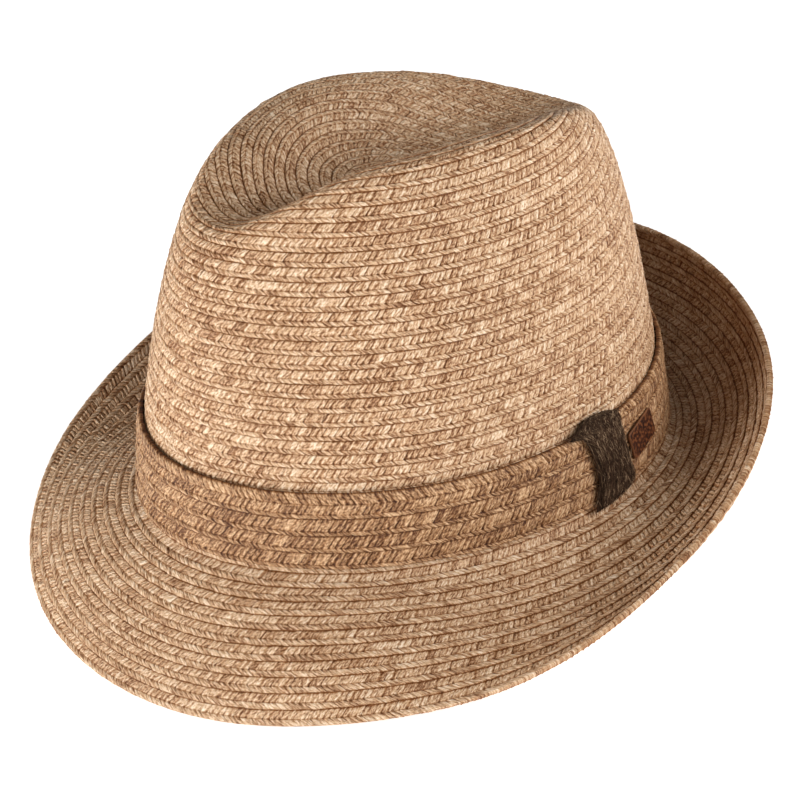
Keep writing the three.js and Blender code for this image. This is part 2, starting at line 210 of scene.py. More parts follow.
def face_of_row(pitch, dome, lap=LAP, apex=CROWN_APEX):
    """The face of a row from FACE, with its slant along the row. It falls by lap over one pitch, its
    grooves grow with dome, and its slant goes one way up to the apex and back past it."""
    column = {key: np.array(values) for key, values in FACE.items()}
    place = column["apex"] * apex + column["pitch"] * pitch + column["mm"]
    height = dome * column["swell"] + column["level"] - lap * place / pitch
    height[0] = TUCK
    height[1] -= FOLD_DROP * lap
    back = -apex * OUTER_SLANT + (place - apex) * INNER_SLANT
    return {
        "place": place,
        "height": height,
        "slant": np.where(place < apex, -place * OUTER_SLANT, back),
        "groove": (0.7 + 0.3 * dome) * column["groove"],
        "painted_shade": column["painted_shade"],
        "bank": column["bank"],
    }


ACROSS = np.array([0.0, 0.18, 0.5, 0.84])  # the grid lines of a strand: its groove, shoulders and middle
STRAND_DIP = np.array([1.0, 0.3, 0.0, 0.15])  # of the groove's depth at those lines
FEWEST_STRANDS = 8  # round the smallest row
ALONG_ROW = (40, 0.7)  # strands wander along their row in fewer waves than this, by mm
ACROSS_ROW = (60, 0.16)  # the row itself wanders across in fewer waves than this, by mm
BANKS = 3  # the most in a row
GAPE = (0.15, 1.35)  # least and most of a groove's depth
FOLD = 0.5  # the folded edge is what lies before this place across a row
EDGE_SPREAD = 0.07  # mm that the folded edge differs from strand to strand
LIFT_SPREAD = 0.08  # mm that their height differs
SLANT_SPREAD = 0.15  # mm that their slant differs
GROOVE_SHADE = 1.35  # painted shade for each mm of a groove
FINE_TINT = 0.11  # share of the tint that each strand has by itself
BROAD_TINT = 0.04  # share that runs over many strands
BROAD = 14  # width of the bell that spreads it, in strands
MAP_STEP = 20.0  # mm between two rows in the UV map


def wavy(count, waves, size):
    """Smooth noise round a ring: a sum of sines with chance phases, each over the root of its waves."""
    turn = np.linspace(0, 2 * np.pi, count, endpoint=False)
    k = np.arange(2, waves)[:, None]
    phase = chance.uniform(0, 2 * np.pi, (waves - 2, 1))
    return size * np.sum(np.sin(k * turn + phase) / np.sqrt(k), axis=0) / np.sqrt(waves)


def mottled(count):
    """Tint of each strand of a row, about 0.5: chance values, plus chance values spread by a bell."""
    fine = chance.normal(0, 1, count)
    broad = chance.normal(0, 1, count)
    spread = np.real(np.fft.ifft(np.fft.fft(broad) * np.exp(-((np.fft.fftfreq(count) * BROAD) ** 2))))
    spread = spread / spread.std()
    return np.clip(0.5 + FINE_TINT * fine + BROAD_TINT * spread, 0, 1)


def braid(skin, edges, face, inward=1, base=0.0, side=1):
    """Rows of braid, one grid for each edge run, joined. A column of points stands at a share of a strand,
    whose number times STRAND is the length along the row's edge. Its points are those of the face, set off
    along the row by the slant and lowered by the groove times the dip at the column. Each bank of a strand
    has its own tint and gape. The face goes up the skin's run if inward is 1, or down it if that is -1, and
    lies on the outside if side is 1, or on the inside if that is -1."""
    place, bank = face["place"], face["bank"]
    found = {"points": [], "quads": [], "uv": [], "tint": [], "depth": []}
    start = 0
    for number, edge in enumerate(edges):
        turn = np.linspace(0, 2 * np.pi, 4 * COLUMNS + 1)
        path = skin(turn, np.full(turn.shape, edge), 0.0)
        along = np.append(0, np.cumsum(np.linalg.norm(np.diff(path, axis=0), axis=1)))
        count = max(FEWEST_STRANDS, round(along[-1] / STRAND))
        share = (np.arange(count)[:, None] + ACROSS).ravel() / count
        place_of_strand = share * along[-1] + wavy(share.size, *ALONG_ROW)
        own_turn = np.interp(place_of_strand, along, turn)
        speed = np.interp(own_turn, turn, np.gradient(along, turn))
        gape = chance.uniform(*GAPE, (count, BANKS)).repeat(len(ACROSS), axis=0)
        dip = np.tile(STRAND_DIP, count)[:, None] * face["groove"] * gape[:, bank]
        jitter = np.repeat(chance.normal(0, 1, (2, count)), len(ACROSS), axis=1)
        ragged = jitter[1][:, None] * (place < FOLD) * EDGE_SPREAD
        run = edge + inward * (place + ragged) + wavy(share.size, *ACROSS_ROW)[:, None]
        lift = np.repeat(chance.normal(0, LIFT_SPREAD, count), len(ACROSS))[:, None]
        out = base + side * (face["height"] - dip + lift * (place > FOLD))
        slanted = face["slant"] + SLANT_SPREAD * jitter[0][:, None] * (place > FOLD)
        points = skin(own_turn[:, None] + slanted / speed[:, None], run, out)
        tints = np.stack([mottled(count) for _ in range(BANKS)], axis=1).repeat(len(ACROSS), axis=0)
        tint = tints[:, bank]
        # Painted shade: the face's painted shade plus more for each mm that a groove dips, kept as an
        # attribute for the colour.
        depth = np.clip(face["painted_shade"] + dip * GROOVE_SHADE, 0, 1)
        columns, steps = points.shape[:2]
        here = np.arange(columns)[:, None] * steps + np.arange(steps - 1)
        there = np.roll(np.arange(columns), -1)[:, None] * steps + np.arange(steps - 1)
        quads = np.stack([here, there, there + 1, here + 1], axis=-1).reshape(-1, 4)
        strand = (np.arange(count)[:, None] + ACROSS).ravel()
        after = np.append(strand[1:], count)
        u = np.stack([strand, after, after, strand], axis=-1)[:, None, :] + np.zeros((1, steps - 1, 1))
        v = np.stack([place[:-1], place[:-1], place[1:], place[1:]], axis=-1)[None] + MAP_STEP * number
        found["points"].append(points.reshape(-1, 3))
        found["quads"].append(quads + start)
        found["uv"].append(np.stack([u, v + 0 * u], axis=-1).reshape(-1, 2))
        found["tint"].append(tint.ravel())
        found["depth"].append(depth.ravel())
        start += columns * steps
    return {key: np.concatenate(value) for key, value in found.items()}


opening = frame["record"]["mounts"][0]
TILT = np.array(
    [[1, 0, 0], [0, -opening["axis"][2], -opening["axis"][1]], [0, opening["axis"][1], -opening["axis"][2]]]
)  # the hat rests tipped back: this turns its own frame into the row frame


def placed(points):
    """Points of the hat's own frame, in mm, turned by TILT and moved to the head opening, in metres."""
    return points @ TILT.T * 0.001 + np.array(opening["pos_m"])


def make_piece(name, grid, material, node):
    """A mesh object through the grid's points, quads and triangles, with its attributes. Its UV map has
    one place for each point or for each corner of a face. It rides on the body root, in place of a node."""
    points = placed(grid["points"])
    triangles = grid.get("triangles", np.zeros((0, 3), int))
    corners = np.concatenate([grid["quads"].ravel(), triangles.ravel()]).astype(np.int32)
    in_quads = grid["quads"].size
    starts = np.concatenate([np.arange(0, in_quads, 4), np.arange(in_quads, corners.size, 3)])
    uv = grid["uv"] if len(grid["uv"]) == corners.size else grid["uv"][corners]
    mesh = bpy.data.meshes.new(name)
    mesh.vertices.add(len(points))
    mesh.vertices.foreach_set("co", points.ravel())
    mesh.loops.add(corners.size)
    mesh.loops.foreach_set("vertex_index", corners)
    mesh.polygons.add(len(starts))
    mesh.polygons.foreach_set("loop_start", starts.astype(np.int32))
    mesh.update(calc_edges=True)
    mesh.uv_layers.new(name="strands").data.foreach_set("uv", uv.ravel())
    for key in ("tint", "depth"):
        mesh.attributes.new(key, "FLOAT", "POINT").data.foreach_set("value", grid[key])
    mesh.shade_smooth()
    mesh.materials.append(material)
    piece = bpy.data.objects.new(name, mesh)
    bpy.context.collection.objects.link(piece)
    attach(piece, "root")
    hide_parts(node)


def linear(code):
    """A colour from its sRGB hex value: each channel below 0.04045 over 12.92, else the power 2.4."""
    channel = np.array([int(code[i : i + 2], 16) / 255 for i in (0, 2, 4)])
    value = np.where(channel <= 0.04045, channel / 12.92, ((channel + 0.055) / 1.055) ** 2.4)
    return (*value.tolist(), 1.0)


def add_node(tree, kind, settings, inputs, stops=()):
    """Adds a node. Settings are its own properties, inputs name its sockets, each with a value or with
    the output that is linked to it, and stops are the places and colours of a ramp."""
    node = tree.nodes.new("ShaderNode" + kind)
    for key, value in settings.items():
        setattr(node, key, value)
    for key, value in inputs.items():
        if isinstance(value, bpy.types.NodeSocket):
            tree.links.new(value, node.inputs[key])
        else:
            node.inputs[key].default_value = value
    for number, (place, code) in enumerate(stops):
        ends = node.color_ramp.elements
        stop = ends[number] if number < 2 else ends.new(place)
        stop.position = place
        stop.color = linear(code)
    return node


def new_material(name):
    """An empty node material with its output."""
    material = bpy.data.materials.new(name)
    material.use_nodes = True
    tree = material.node_tree
    tree.nodes.clear()
    return material, tree, add_node(tree, "OutputMaterial", {}, {})


def plaited_straw(name, shades, painted_shade_colour):
    """Plaited straw: flattened stalks with a dull waxy surface, fine lengthwise fibres and a colour of
    their own each, and painted shade that darkens them in the gaps where they dip under each other and
    under the row above."""
    material, tree, output = new_material(name)
    uv = add_node(tree, "UVMap", {"uv_map": "strands"}, {})
    # Fibres 3.2 to a strand, or 0.66 mm apart, and about 1.1 mm long: coarser than real ones, so that they
    # show. The map counts strands along a row and mm across it.
    fibre_place = add_node(tree, "Mapping", {}, {"Vector": uv.outputs["UV"], "Scale": (3.2, 0.9, 1.0)})
    fibre = add_node(
        tree,
        "TexNoise",
        {"noise_dimensions": "2D"},
        {"Vector": fibre_place.outputs["Vector"], "Scale": 1.0, "Detail": 2.0, "Roughness": 0.6},
    )
    tint = add_node(tree, "Attribute", {"attribute_name": "tint"}, {})
    depth = add_node(tree, "Attribute", {"attribute_name": "depth"}, {})
    # Twice the fibre less one, about 0, is added to the strand's own tint.
    scaled = {"operation": "MULTIPLY_ADD"}
    spread = add_node(tree, "Math", scaled, {0: fibre.outputs["Fac"], 1: 2.0, 2: -1.0})
    shade = add_node(tree, "Math", {"operation": "ADD"}, {0: spread.outputs[0], 1: tint.outputs["Fac"]})
    colour = add_node(tree, "ValToRGB", {}, {"Fac": shade.outputs[0]}, shades)
    # Painted shade: in the grooves and under the row edges the colour is raised to a power that grows with
    # the painted shade, deep and dark as light bounced from straw to straw would leave it.
    painted_shade_power = add_node(tree, "Math", scaled, {0: depth.outputs["Fac"], 1: 1.2, 2: 1.0})
    painted_shade_tone = add_node(tree, "Gamma", {}, {"Color": colour.outputs["Color"], "Gamma": painted_shade_power.outputs[0]})
    # Painted shade: then mixed towards the dark painted shade colour as the painted shade grows.
    painted_shade_share = add_node(tree, "Math", {"operation": "MULTIPLY"}, {0: depth.outputs["Fac"], 1: 0.8})
    sides = {0: painted_shade_share.outputs[0], 6: painted_shade_tone.outputs["Color"], 7: linear(painted_shade_colour)}
    both = add_node(tree, "Mix", {"data_type": "RGBA"}, sides)
    bump = add_node(tree, "Bump", {}, {"Height": fibre.outputs["Fac"], "Strength": 0.9, "Distance": 0.0005})
    straw = add_node(
        tree,
        "BsdfPrincipled",
        {},
        {
            "Base Color": both.outputs[2],
            "Roughness": 0.55,
            "Specular IOR Level": 0.3,
            "Normal": bump.outputs[0],
        },
    )
    tree.links.new(straw.outputs[0], output.inputs["Surface"])
    return material


straw_braid = plaited_straw(
    "plaited_straw",
    (
        (0.0, "845A39"),
        (1.0, "F9E4CA"),
        (0.28, "B58D6B"),
        (0.45, "CFA985"),
        (0.58, "D8B691"),
        (0.74, "E7C8A8"),
    ),
    # colour of the painted shade in the grooves and under the row edges
    "66390F",
)
crown_skin, CROWN_RUN = skin_through(crown_paths(TURNS), 1)
band_top = BAND_LIFT + BAND_WIDTH
# From a row that the band hides up to the middle of the dent, in pieces cut between two rows.
crown_rows = round((CROWN_RUN - band_top) / CROWN_PITCH - CROWN_FIRST_ROW)
crown_edges = np.arange(-1, crown_rows) + CROWN_FIRST_ROW
crown_edges = band_top + (CROWN_RUN - band_top) / (crown_rows + CROWN_FIRST_ROW) * crown_edges
crown_face = face_of_row(CROWN_PITCH, CROWN_DOME)
dent_face = face_of_row(CROWN_PITCH, DENT_DOME, DENT_LAP)
for name, first, last, face in (
    ("crown_wall", 0, 8, crown_face),
    ("crown_shoulder", 8, 17, crown_face),
    ("crown_dent", 17, None, dent_face),
):
    rows = braid(crown_skin, crown_edges[first:last], face)
    make_piece(name, rows, straw_braid, "crown")

# The brim. The same spiral of braid goes on outwards, each row's outer edge lying on the next row, and
# ends in one plain folded edge. It is pressed down in front and rolled up at the sides and the back.
BRIM_WIDTH = 54.0
BRIM_CURL = 1.28  # power of the share across the brim at which its slope turns
FOOT_ROUND = 3.0  # the turn from the crown into the brim
BRIM_PITCH = 5.25
FOOT_SEAM = 8.0  # the brim starts this far up the wall, under the band
WALL_STEPS = 10  # of its section, up the wall, in the turn and out to the edge
ROUND_STEPS = 12
BRIM_STEPS = 108
FIRST_EDGE = 5.8  # no row's edge lies nearer to the seam than this
BRIM_LAP = 0.55
BRIM_DOME = 0.35
BRIM_APEX = 2.2
BRIM_SIDE = 0.016  # the brim is wider on the wearer's right by this share, and narrower on the left


def brim_paths(turn):
    """Sections of the brim, along the plan normal of the oval. The slope goes from root to edge with the
    share across the brim to the power BRIM_CURL, and the path is its running sum. The corner at the foot
    is rounded by a quadratic curve from the crown's wall."""
    foot = oval(turn)
    probe = 0.001
    along = oval(turn + probe) - oval(turn - probe)
    out = np.stack([along[:, 1], -along[:, 0]], axis=1)
    out = out / np.linalg.norm(out, axis=1, keepdims=True)
    share = (np.arange(BRIM_STEPS) + 0.5) / BRIM_STEPS
    root = np.radians(around("root")(turn))[:, None]
    edge = np.radians(around("edge")(turn))[:, None]
    slope = root + (edge - root) * share**BRIM_CURL
    width = BRIM_WIDTH * around("brim")(turn) * (1 - BRIM_SIDE * np.sin(turn))
    length = width[:, None] / BRIM_STEPS
    reach = np.pad(np.cumsum(np.cos(slope) * length, axis=1), ((0, 0), (1, 0)))
    rise = np.pad(np.cumsum(np.sin(slope) * length, axis=1), ((0, 0), (1, 0)))
    height = SADDLE * np.cos(2 * turn)[:, None] + rise
    plan = foot[:, None, :] + out[:, None, :] * reach[..., None]
    flat = np.concatenate([plan, height[..., None]], axis=2)
    wall = crown_skin(turn[:, None], np.linspace(FOOT_SEAM, FOOT_ROUND, WALL_STEPS + 1), 0.0)
    begin = round(FOOT_ROUND * BRIM_STEPS / BRIM_WIDTH)
    end = flat[:, begin : begin + 1]
    t = np.linspace(0, 1, ROUND_STEPS + 1)[None, 1:, None]
    turned = (1 - t) ** 2 * wall[:, -1:] + 2 * (1 - t) * t * flat[:, :1] + t * t * end
    return np.concatenate([wall, turned, flat[:, begin + 1 :]], axis=1)


brim_skin, BRIM_RUN = skin_through(brim_paths(TURNS), -1)
brim_face = face_of_row(BRIM_PITCH, BRIM_DOME, BRIM_LAP, BRIM_APEX)
brim_edges = np.arange(BRIM_RUN, FIRST_EDGE, -BRIM_PITCH)[::-1]
for name, first, last in (("brim_inner_rows", 0, 6), ("brim_outer_rows", 6, -1)):
    rows = braid(brim_skin, brim_edges[first:last], brim_face, inward=-1)
    make_piece(name, rows, straw_braid, "brim")
# The last row has no row under it: its fold goes right round the edge, grooved, and with less painted
# shade, since nothing covers it.
rim_face = {key: values.copy() for key, values in brim_face.items()}
rim_face["height"][:2] = -2.1, -1.0
rim_face["groove"][:2] = 0.3, 0.36
# painted shade, weak along the open fold
rim_face["painted_shade"][:3] = 0.4, 0.1, 0.0
rows = braid(brim_skin, brim_edges[-1:], rim_face, inward=-1)
make_piece("brim_rim_row", rows, straw_braid, "brim")

# The inner face of the same braid, seen from below: under the brim each row's inner edge lies on the next
# row out, and inside the crown each upper edge lies on the row below. The strands show flatter here. The
# crown's rows are in two pieces, cut between two rows.
INSIDE_APEX = 1.7
INSIDE_FOOT = 12.0  # the lowest row inside the crown has its edge above this
POLE_GAP = 0.6  # the highest one ends this short of the middle of the dent
UNDER_FOOT = 0.5  # the innermost row under the brim has its edge past this
inside_place = np.array([0.4, 0.0, 0.8, INSIDE_APEX, 3.4, CROWN_PITCH + 0.5])
back = INSIDE_APEX - (inside_place - INSIDE_APEX) * 0.5
inside_face = {
    "place": inside_place,
    "height": np.array([-1.2, -0.5, -0.05, -0.4, -0.4, -1.05]),
    "slant": np.where(inside_place < INSIDE_APEX, inside_place, back),
    "groove": np.array([0, 0.15, 0.2, 0.4, 0.3, 0.2]),
    # painted shade, darkest under the folded edge and where the next row covers it
    "painted_shade": np.array([1, 0.7, 0.05, 0.25, 0.05, 0.9]),
    "bank": np.array([0, 0, 0, 1, 1, 1]),
}
inside_edges = np.arange(CROWN_RUN - POLE_GAP, INSIDE_FOOT, -CROWN_PITCH)[::-1]
for name, first, last in (("crown_inside_wall", 0, 14), ("crown_inside_top", 14, None)):
    rows = braid(crown_skin, inside_edges[first:last], inside_face, inward=-1, base=-WALL, side=-1)
    make_piece(name, rows, straw_braid, "crown")
under_edges = np.arange(BRIM_RUN - BRIM_PITCH, UNDER_FOOT, -BRIM_PITCH)[::-1]
wider = inside_place * BRIM_PITCH / CROWN_PITCH
under_face = {**inside_face, "place": np.where(inside_place > INSIDE_APEX, wider, inside_place)}
rows = braid(brim_skin, under_edges, under_face, inward=1, base=-WALL, side=-1)
make_piece("brim_underside", rows, straw_braid, "brim")

# The band. Four rows of the same braid in a darker mix of straw, sewn to each other and laid round the
# foot of the crown. Its top row shows the braid's full width, with both banks of slanting strands.
BAND_THICKNESS = 2.0
BAND_GAP = 0.3
BAND_DOME = 1.2
LAPPED_ROWS = 3
TOP_ROW = 8.7  # width of the row on top
TOP_APEX = 1.65
TOP_MIDDLE = 5.0  # place across it of the line between its two banks
TOP_SLANT = 0.6  # mm along the row for each mm from that line
band_braid = plaited_straw(
    "plaited_dark_straw",
    (
        (0.0, "603719"),
        (1.0, "E6C39D"),
        (0.28, "906948"),
        (0.45, "A9825E"),
        (0.58, "B9926C"),
        (0.74, "CCA57E"),
    ),
    # colour of the painted shade in the grooves and under the row edges
    "4E2A0E",
)
band_pitch = (BAND_WIDTH - TOP_ROW) / LAPPED_ROWS
band_face = face_of_row(band_pitch, BAND_DOME)
band_edges = BAND_LIFT + band_pitch * np.arange(LAPPED_ROWS)
crest = BAND_GAP + BAND_THICKNESS
rows = braid(crown_skin, band_edges, band_face, base=crest)
make_piece("band_rows", rows, band_braid, "band")
top_place = np.array(
    [0.35, 0.0, 0.2, 0.85, 1.4, TOP_APEX, 2.0, 3.4, 4.7, TOP_MIDDLE, 5.4, 7.0, 8.3, TOP_ROW, 8.6]
)
top_height = [-1.3, -0.62, -0.1, 0.1, 0, -0.3, -0.1, 0.05, -0.12, -0.3, -0.15, -0.1, -0.3, -0.8, -1.9]
from_middle = -np.abs(top_place - TOP_MIDDLE) * TOP_SLANT
top_face = {
    "place": top_place,
    "height": np.array(top_height),
    "slant": np.where(top_place < TOP_APEX, -top_place * OUTER_SLANT, from_middle),
    "groove": np.array([0, 0.25, 0.3, 0.34, 0.4, 0.7, 0.5, 0.5, 0.5, 0.75, 0.5, 0.5, 0.4, 0.25, 0]),
    # painted shade, dark under the folded edge and at the row's top edge, a little at the apex and the
    # middle
    "painted_shade": np.array([1, 0.9, 0.08, 0, 0.05, 0.4, 0.05, 0, 0, 0.3, 0, 0, 0.05, 0.4, 0.8]),
    "bank": np.array([0, 0, 0, 0, 0, 1, 1, 1, 1, 2, 2, 2, 2, 2, 2]),
}
rows = braid(crown_skin, [band_top - TOP_ROW], top_face, base=crest)
make_piece("band_top_row", rows, band_braid, "band")

# The keeper. A strip of thick dark wool, folded over the band's top edge, where its end is tucked in behind
# the band as a point, and drawn down over the face of the band to a slanting cut end.
KEEPER_TURN = 100.6  # degrees from the front
KEEPER_HALF = 1.1  # half its thickness
# From its cut end to its tucked point: height up the wall, rise of that height towards the back edge, mm
# out from the crown, and the front and the back edge in mm along the band.
KEEPER_EDGES = {
    "height": (1.2, 4.4, 9.5, 14.0, 19.5, 25.0, 28.2, 29.2, 30.2, 31.3, 32.0),
    "slope": (1.2, 0.6, 0.0, 0.0, 0.0, 0.0, 0.0, 0.2, 0.1, -0.3, -0.5),
    "out": (3.2, 3.5, 3.6, 3.6, 3.6, 3.6, 3.5, 3.1, 2.5, 1.6, 0.8),
    "front": (-10.6, -9.2, -7.4, -7.2, -8.0, -10.0, -12.2, -18.2, -15.2, -11.2, -7.0),
    "back": (9.8, 11.0, 9.7, 9.1, 8.2, 7.5, 7.6, 8.0, 8.3, 5.0, 2.0),
}
KEEPER_STATIONS = 72  # rings along it
KEEPER_ROUND = 56  # points in each ring
STEPS_OF_ROW = 40  # between two rows of the table, where it is smoothed
SMOOTH_STEPS = 24  # over which it is averaged


def over_band(turn_degrees, along, up, out):
    """A point over the band: along in mm round the crown from a turn, up the wall, and out from it. The
    length of one radian is the chord of a small turn over that turn."""
    turn = math.radians(turn_degrees)
    probe = 0.01
    before, after = oval(np.array([turn - probe, turn + probe]))
    speed = np.linalg.norm(after - before) / (2 * probe)
    along, up, out = np.broadcast_arrays(along, up, out)
    return crown_skin(turn + along / speed, up, out)


def closed_skin(rings, uv, tint, depth):
    """A closed grid through rings of points, with a fan of triangles over each end to the middle of the
    end ring. If the summed volume is negative, every face is turned round."""
    count, size = rings.shape[:2]
    here = np.arange(count - 1)[:, None] * size + np.arange(size)
    there = np.arange(count - 1)[:, None] * size + np.roll(np.arange(size), -1)
    quads = np.stack([here, there, there + size, here + size], axis=-1).reshape(-1, 4)
    end = (count - 1) * size
    first = np.stack([np.full(size, count * size), there[0], here[0]], axis=-1)
    last = np.stack([np.full(size, count * size + 1), here[0] + end, there[0] + end], axis=-1)
    triangles = np.concatenate([first, last])

    def with_ends(values):
        """The values of all points, then the mean over the first ring and over the last."""
        of_ring = values.reshape(count, size, -1)
        return np.concatenate([values.reshape(count * size, -1), of_ring[[0, -1]].mean(axis=1)])

    points = with_ends(rings)
    fans = np.concatenate([quads[:, [0, 1, 2]], quads[:, [0, 2, 3]], triangles])
    volume = np.einsum("ij,ij->", points[fans[:, 0]], np.cross(points[fans[:, 1]], points[fans[:, 2]]))
    if volume < 0:
        quads = quads[:, ::-1]
        triangles = triangles[:, ::-1]
    return {
        "points": points,
        "quads": quads,
        "triangles": triangles,
        "uv": with_ends(uv),
        "tint": with_ends(tint).ravel(),
        "depth": with_ends(depth).ravel(),
    }


def squarish(count, power):
    """Points of a superellipse: the cosine and sine of even angles, each to the power and with its sign."""
    angle = (np.arange(count) + 0.5) * 2 * np.pi / count
    return np.stack([np.sign(f) * np.abs(f) ** power for f in (np.cos(angle), np.sin(angle))], axis=-1)


def keeper_at(station, across, off):
    """A point of the keeper: station from 0 at its cut end to 1 at its tucked point, across from -1 in
    front to 1 at the back, and off its middle layer along the normal of its path over the band. The columns
    of KEEPER_EDGES are running means of straight lines through their values."""
    rows = len(KEEPER_EDGES["height"]) - 1
    fine = np.linspace(0, rows, STEPS_OF_ROW * rows + 1)
    past = SMOOTH_STEPS / 2 / STEPS_OF_ROW
    box = np.ones(SMOOTH_STEPS + 1) / (SMOOTH_STEPS + 1)
    path, speed = {}, {}
    for key, values in KEEPER_EDGES.items():
        row = np.linspace(-past, rows + past, fine.size + SMOOTH_STEPS)
        smooth = np.convolve(np.interp(row, np.arange(rows + 1), values), box, "valid")
        path[key] = np.interp(station, fine / rows, smooth)
        speed[key] = np.interp(station, fine / rows, np.gradient(smooth))
    length = np.hypot(speed["height"], speed["out"]) + 1e-9  # never 0
    middle = (path["front"] + path["back"]) / 2
    half = (path["back"] - path["front"]) / 2
    up = path["height"] + path["slope"] * across - off * speed["out"] / length
    out = path["out"] + off * speed["height"] / length
    return over_band(KEEPER_TURN, middle + half * across, up, out)


wool, tree, output = new_material("felted_wool")
# Felted wool: a deep nap of dark and greyish hairs that scatters light at its edges and never shines.
# Its tufts are 1.1 mm apart, 900 to a metre, because single hairs are too fine to show.
tint = add_node(tree, "Attribute", {"attribute_name": "tint"}, {})
place = add_node(tree, "TexCoord", {}, {})
tuft = add_node(tree, "TexNoise", {}, {"Vector": place.outputs["Object"], "Scale": 900.0, "Detail": 3.0})
half_and_tint = {0: tuft.outputs["Fac"], 1: 0.5, 2: tint.outputs["Fac"]}
mixed = add_node(tree, "Math", {"operation": "MULTIPLY_ADD"}, half_and_tint)
hair = add_node(
    tree,
    "ValToRGB",
    {},
    {"Fac": mixed.outputs[0]},
    ((0.2, "1E1108"), (1.0, "AC8F73"), (0.5, "453123"), (0.78, "6E5843")),
)
pile = add_node(tree, "Bump", {}, {"Height": tuft.outputs["Fac"], "Strength": 0.8, "Distance": 0.0006})
cloth = add_node(
    tree,
    "BsdfPrincipled",
    {},
    {
        "Base Color": hair.outputs["Color"],
        "Roughness": 0.95,
        "Specular IOR Level": 0.15,
        "Sheen Weight": 0.06,
        "Sheen Roughness": 0.6,
        "Sheen Tint": linear("B89A7A"),
        "Normal": pile.outputs[0],
    },
)
tree.links.new(cloth.outputs[0], output.inputs["Surface"])

# Its section is a flat oval with full corners, thinner at the cut end. Ridges of yarn run down it and
# meet lumps, both sines of the place, and what stands up is paler.
KEEPER_CORNER = 0.4  # power of its section
KEEPER_INSET = 0.97  # share of the width that the strip fills, inside its nap
KEEPER_HEM = 0.55  # share by which the cut end is thinner
YARN = 0.12  # mm
HALF_MM, LONG_MM = 8, 34  # half the width and the length, for its UV map
section = squarish(KEEPER_ROUND, KEEPER_CORNER)
station = np.linspace(0, 1, KEEPER_STATIONS)[:, None]
ridges = np.sin(section[:, 0] * 11 + 5 * station + 0.6 * np.sin(9 * station)) * YARN
lumps = np.sin(section[:, 0] * 5 + 23 * station) * np.sin(31 * station + 2 * section[:, 0]) * YARN
thick = KEEPER_HALF * (1 - KEEPER_HEM * (1 - station) ** 12)
rings = keeper_at(station, section[:, 0] * KEEPER_INSET, section[:, 1] * (thick + ridges + lumps))
uv = np.stack(np.broadcast_arrays(section[:, 0] * HALF_MM, station * LONG_MM), axis=-1)
tint_of_wool = np.clip(0.2 + 2.2 * (ridges + lumps), 0, 1) * 0.5
body = closed_skin(rings, uv, tint_of_wool, np.zeros(tint_of_wool.shape))
make_piece("keeper_strip", body, wool, "keeper")

# The nap on the keeper: loose hairs of the same wool lying down its length, rooted in the strip. Each is a
# thin blade that arches up from its face and back, and bends down where it comes to an edge.
HAIRS = 4200
HAIR_WIDTH = 0.2
HAIR_START = (-0.02, 0.95)  # least and most, as shares of the keeper's length
HAIR_LENGTH = (0.06, 0.16)
HAIR_RISE = (0.0, 0.65)  # of its arch, in mm
HAIR_DRIFT = 0.14  # towards the keeper's front or back, as a share of half its width
ROOT_DEPTH = 0.1
HAIR_BEND = 0.88  # share of half the width from which hairs bend down, by HAIR_FALL at most
HAIR_FALL = 1.2
DARK_SHARE = 0.62  # of the hairs
PALE = (0.1, 0.55)  # tint of the others
TINT_SPREAD = 0.2
steps = np.linspace(0, 1, 5)  # along each hair
start = chance.uniform(*HAIR_START, (HAIRS, 1))
length = chance.uniform(*HAIR_LENGTH, (HAIRS, 1))
side = chance.uniform(-1, 1, (HAIRS, 1)) ** 3 * 0.35 + chance.uniform(-0.97, 0.97, (HAIRS, 1)) * 0.82
drift = chance.normal(0, HAIR_DRIFT, (HAIRS, 1))
arch = chance.uniform(*HAIR_RISE, (HAIRS, 1)) * np.sin(np.pi * steps)
rise = KEEPER_HALF + arch - ROOT_DEPTH * (steps == 0)
along = np.clip(start + length * steps, 0, 1)
over = side + drift * steps
fall = np.clip((np.abs(over) - HAIR_BEND) * 5, 0, HAIR_FALL)
half_hair = np.array([-0.5, 0.5]) * HAIR_WIDTH / HALF_MM
taper = (0.35 + 0.65 * np.sin(np.pi * steps))[None, :, None]
points = keeper_at(along[..., None], over[..., None] + half_hair * taper, (rise - fall)[..., None])
shape = points.shape[:3]
number = np.arange(points[..., 0].size).reshape(shape)
quads = np.stack([number[:, :-1, 0], number[:, :-1, 1], number[:, 1:, 1], number[:, 1:, 0]], axis=-1)
pale = (chance.uniform(0, 1, (HAIRS, 1, 1)) > DARK_SHARE) * chance.uniform(*PALE, (HAIRS, 1, 1))
tints = pale + chance.uniform(0, TINT_SPREAD, (HAIRS, 1, 1)) + np.zeros(shape)
uv = np.stack(np.broadcast_arrays(over[..., None] + half_hair, along[..., None]), axis=-1)
nap = {
    "points": points.reshape(-1, 3),
    "quads": quads.reshape(-1, 4),
    "uv": uv.reshape(-1, 2),
    "tint": tints.ravel(),
    "depth": np.zeros(tints.size),
}
make_piece("keeper_nap", nap, wool, "keeper")

# The patch. A small rectangle of dark reddish cowhide, sewn to the band behind the keeper. Its cut edge
# shows paler than its waxed face, which is left without any mark.
PATCH_TURN = 113.0  # degrees from the front
PATCH_LENGTH = 17.0  # round the band
PATCH_HEIGHT = 10.4
PATCH_TILT = 8.5  # degrees
PATCH_THICKNESS = 1.2
PATCH_RISE = 15.2  # of its middle, over the foot of the crown
PATCH_CORNER = 0.16  # power of its outline
PATCH_ROUND = 64  # points in each ring
# Rings from the middle of its face over the edge to the middle of its back: size as a share of the
# outline, out as a share of the thickness, and how much of the cut edge shows.
PATCH_RINGS = {
    "size": (0.04, 0.3, 0.6, 0.84, 0.92, 0.965, 1.0, 1.0, 0.9, 0.3),
    "out": (1.0, 1.0, 1.0, 0.98, 0.92, 1.0, 0.9, 0.2, 0.0, 0.0),
    "cut": (0, 0, 0, 0, 0, 0.15, 0.8, 0.6, 0, 0),
}
leather, tree, output = new_material("waxed_cowhide")
